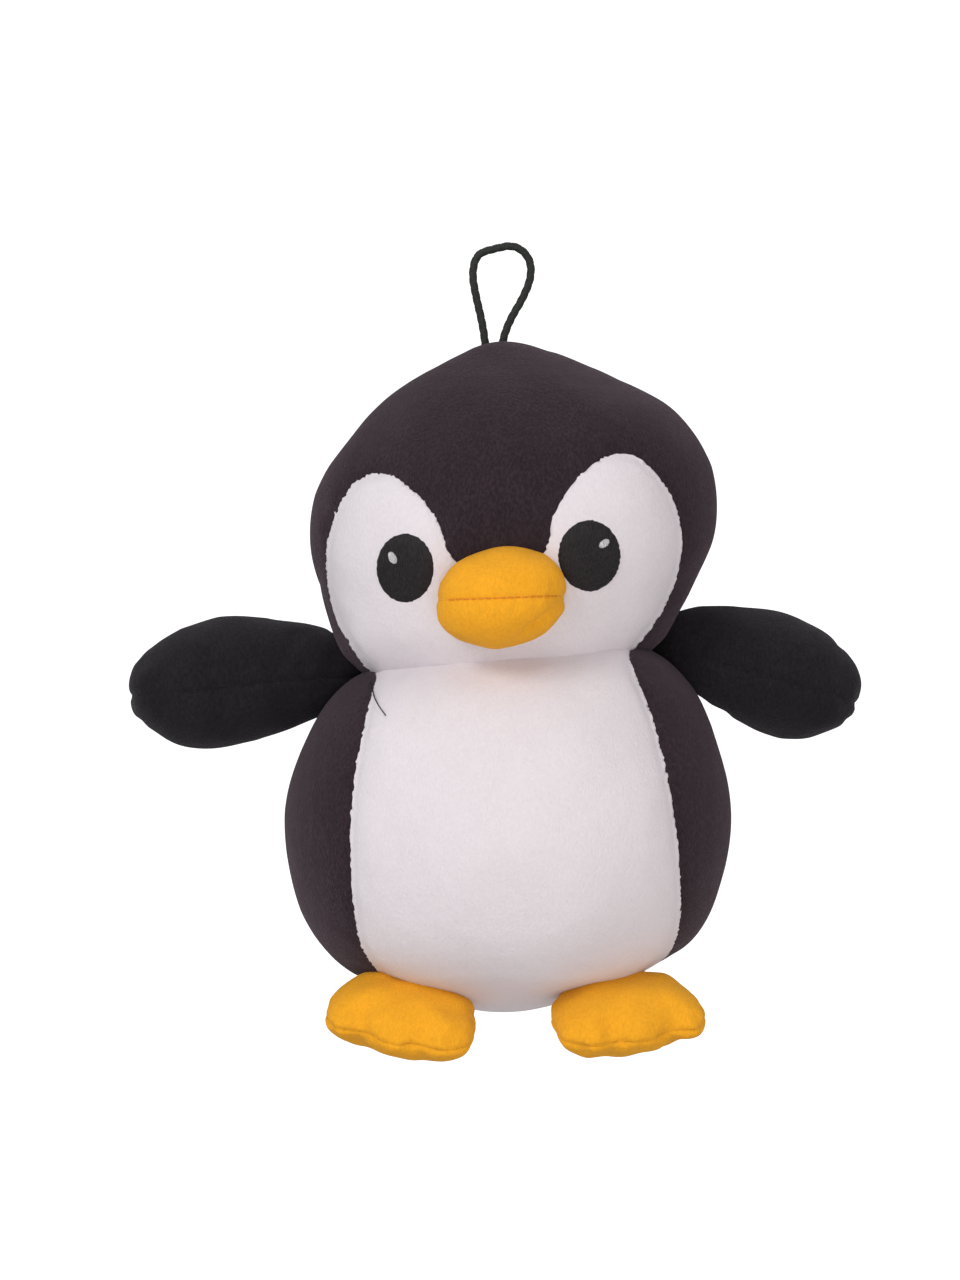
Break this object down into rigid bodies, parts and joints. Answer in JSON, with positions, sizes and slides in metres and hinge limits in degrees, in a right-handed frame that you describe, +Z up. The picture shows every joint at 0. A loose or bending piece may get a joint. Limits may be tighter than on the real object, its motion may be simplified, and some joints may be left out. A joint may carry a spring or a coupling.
{
  "type": "plush penguin",
  "caption": "Small stuffed plush penguin hung from a braided cord loop, with sewn white, black and orange cloth panels, flippers, beak and feet, embroidered eyes and a neck that twists.",
  "frame": {"origin": "inside top of the hanging loop, where a hook bears", "axes": "+Z up along the hanging direction, -Y towards the front of the toy, +X to the viewer's right when facing the toy"},
  "size_m": [0.2601, 0.1452, 0.2865],
  "materials": {
    "black_plush": "short matte pile",
    "white_plush": "short matte pile",
    "orange_plush": "short matte pile",
    "black_embroidery": "satin stitch",
    "white_embroidery": "satin stitch",
    "orange_thread": "sewing thread",
    "black_thread": "sewing thread",
    "braided_cord": "fine round braid",
    "polyester_filling": "loose fibre"
  },
  "bodies": {
    "head": {"face_panel": "white_plush", "crown_panel": "black_plush", "head_back_left": "black_plush", "head_back_right": "black_plush", "head_stuffing": "polyester_filling", "beak_upper": "orange_plush", "beak_lower": "orange_plush", "beak_stuffing": "polyester_filling", "beak_stitches": "orange_thread", "eye_left": "black_embroidery", "eye_right": "black_embroidery", "eye_highlight_left": "white_embroidery", "eye_highlight_right": "white_embroidery", "hanging_loop": "braided_cord", "loop_knot": "braided_cord", "neck_thread": "black_thread"},
    "torso": {"belly_panel": "white_plush", "body_side_left": "black_plush", "body_side_right": "black_plush", "body_stuffing": "polyester_filling", "closing_stitches": "black_thread"},
    "flipper_left": {"flipper_left_upper": "black_plush", "flipper_left_lower": "black_plush", "flipper_left_stuffing": "polyester_filling"},
    "foot_left": {"foot_left_top": "orange_plush", "foot_left_sole": "orange_plush", "foot_left_stuffing": "polyester_filling"},
    "flipper_right": {"flipper_right_upper": "black_plush", "flipper_right_lower": "black_plush", "flipper_right_stuffing": "polyester_filling"},
    "foot_right": {"foot_right_top": "orange_plush", "foot_right_sole": "orange_plush", "foot_right_stuffing": "polyester_filling"}
  },
  "joints": [
    {"name": "neck_twist", "type": "hinge", "parent": "head", "child": "torso", "pos_m": [0.00045, 0, -0.142], "axis": [-0.0785, 0, 0.9969], "range_deg": [-20, 20], "stiffness_Nm_per_rad": 0.25},
    {"name": "flipper_left_flap", "type": "hinge", "parent": "torso", "child": "flipper_left", "pos_m": [-0.0523, 0.008, -0.1458], "axis": [0, 1, 0], "range_deg": [-10, 28], "stiffness_Nm_per_rad": 0.3},
    {"name": "flipper_right_flap", "type": "hinge", "parent": "torso", "child": "flipper_right", "pos_m": [0.0524, 0.008, -0.1375], "axis": [0, -1, 0], "range_deg": [-8, 24], "stiffness_Nm_per_rad": 0.3},
    {"name": "foot_left_flex", "type": "hinge", "parent": "torso", "child": "foot_left", "pos_m": [-0.029, -0.015, -0.2628], "axis": [0.9613, -0.2756, 0], "range_deg": [-10, 25], "stiffness_Nm_per_rad": 0.15},
    {"name": "foot_right_flex", "type": "hinge", "parent": "torso", "child": "foot_right", "pos_m": [0.033, -0.015, -0.2622], "axis": [0.9272, 0.3746, 0], "range_deg": [-10, 25], "stiffness_Nm_per_rad": 0.15}
  ]
}
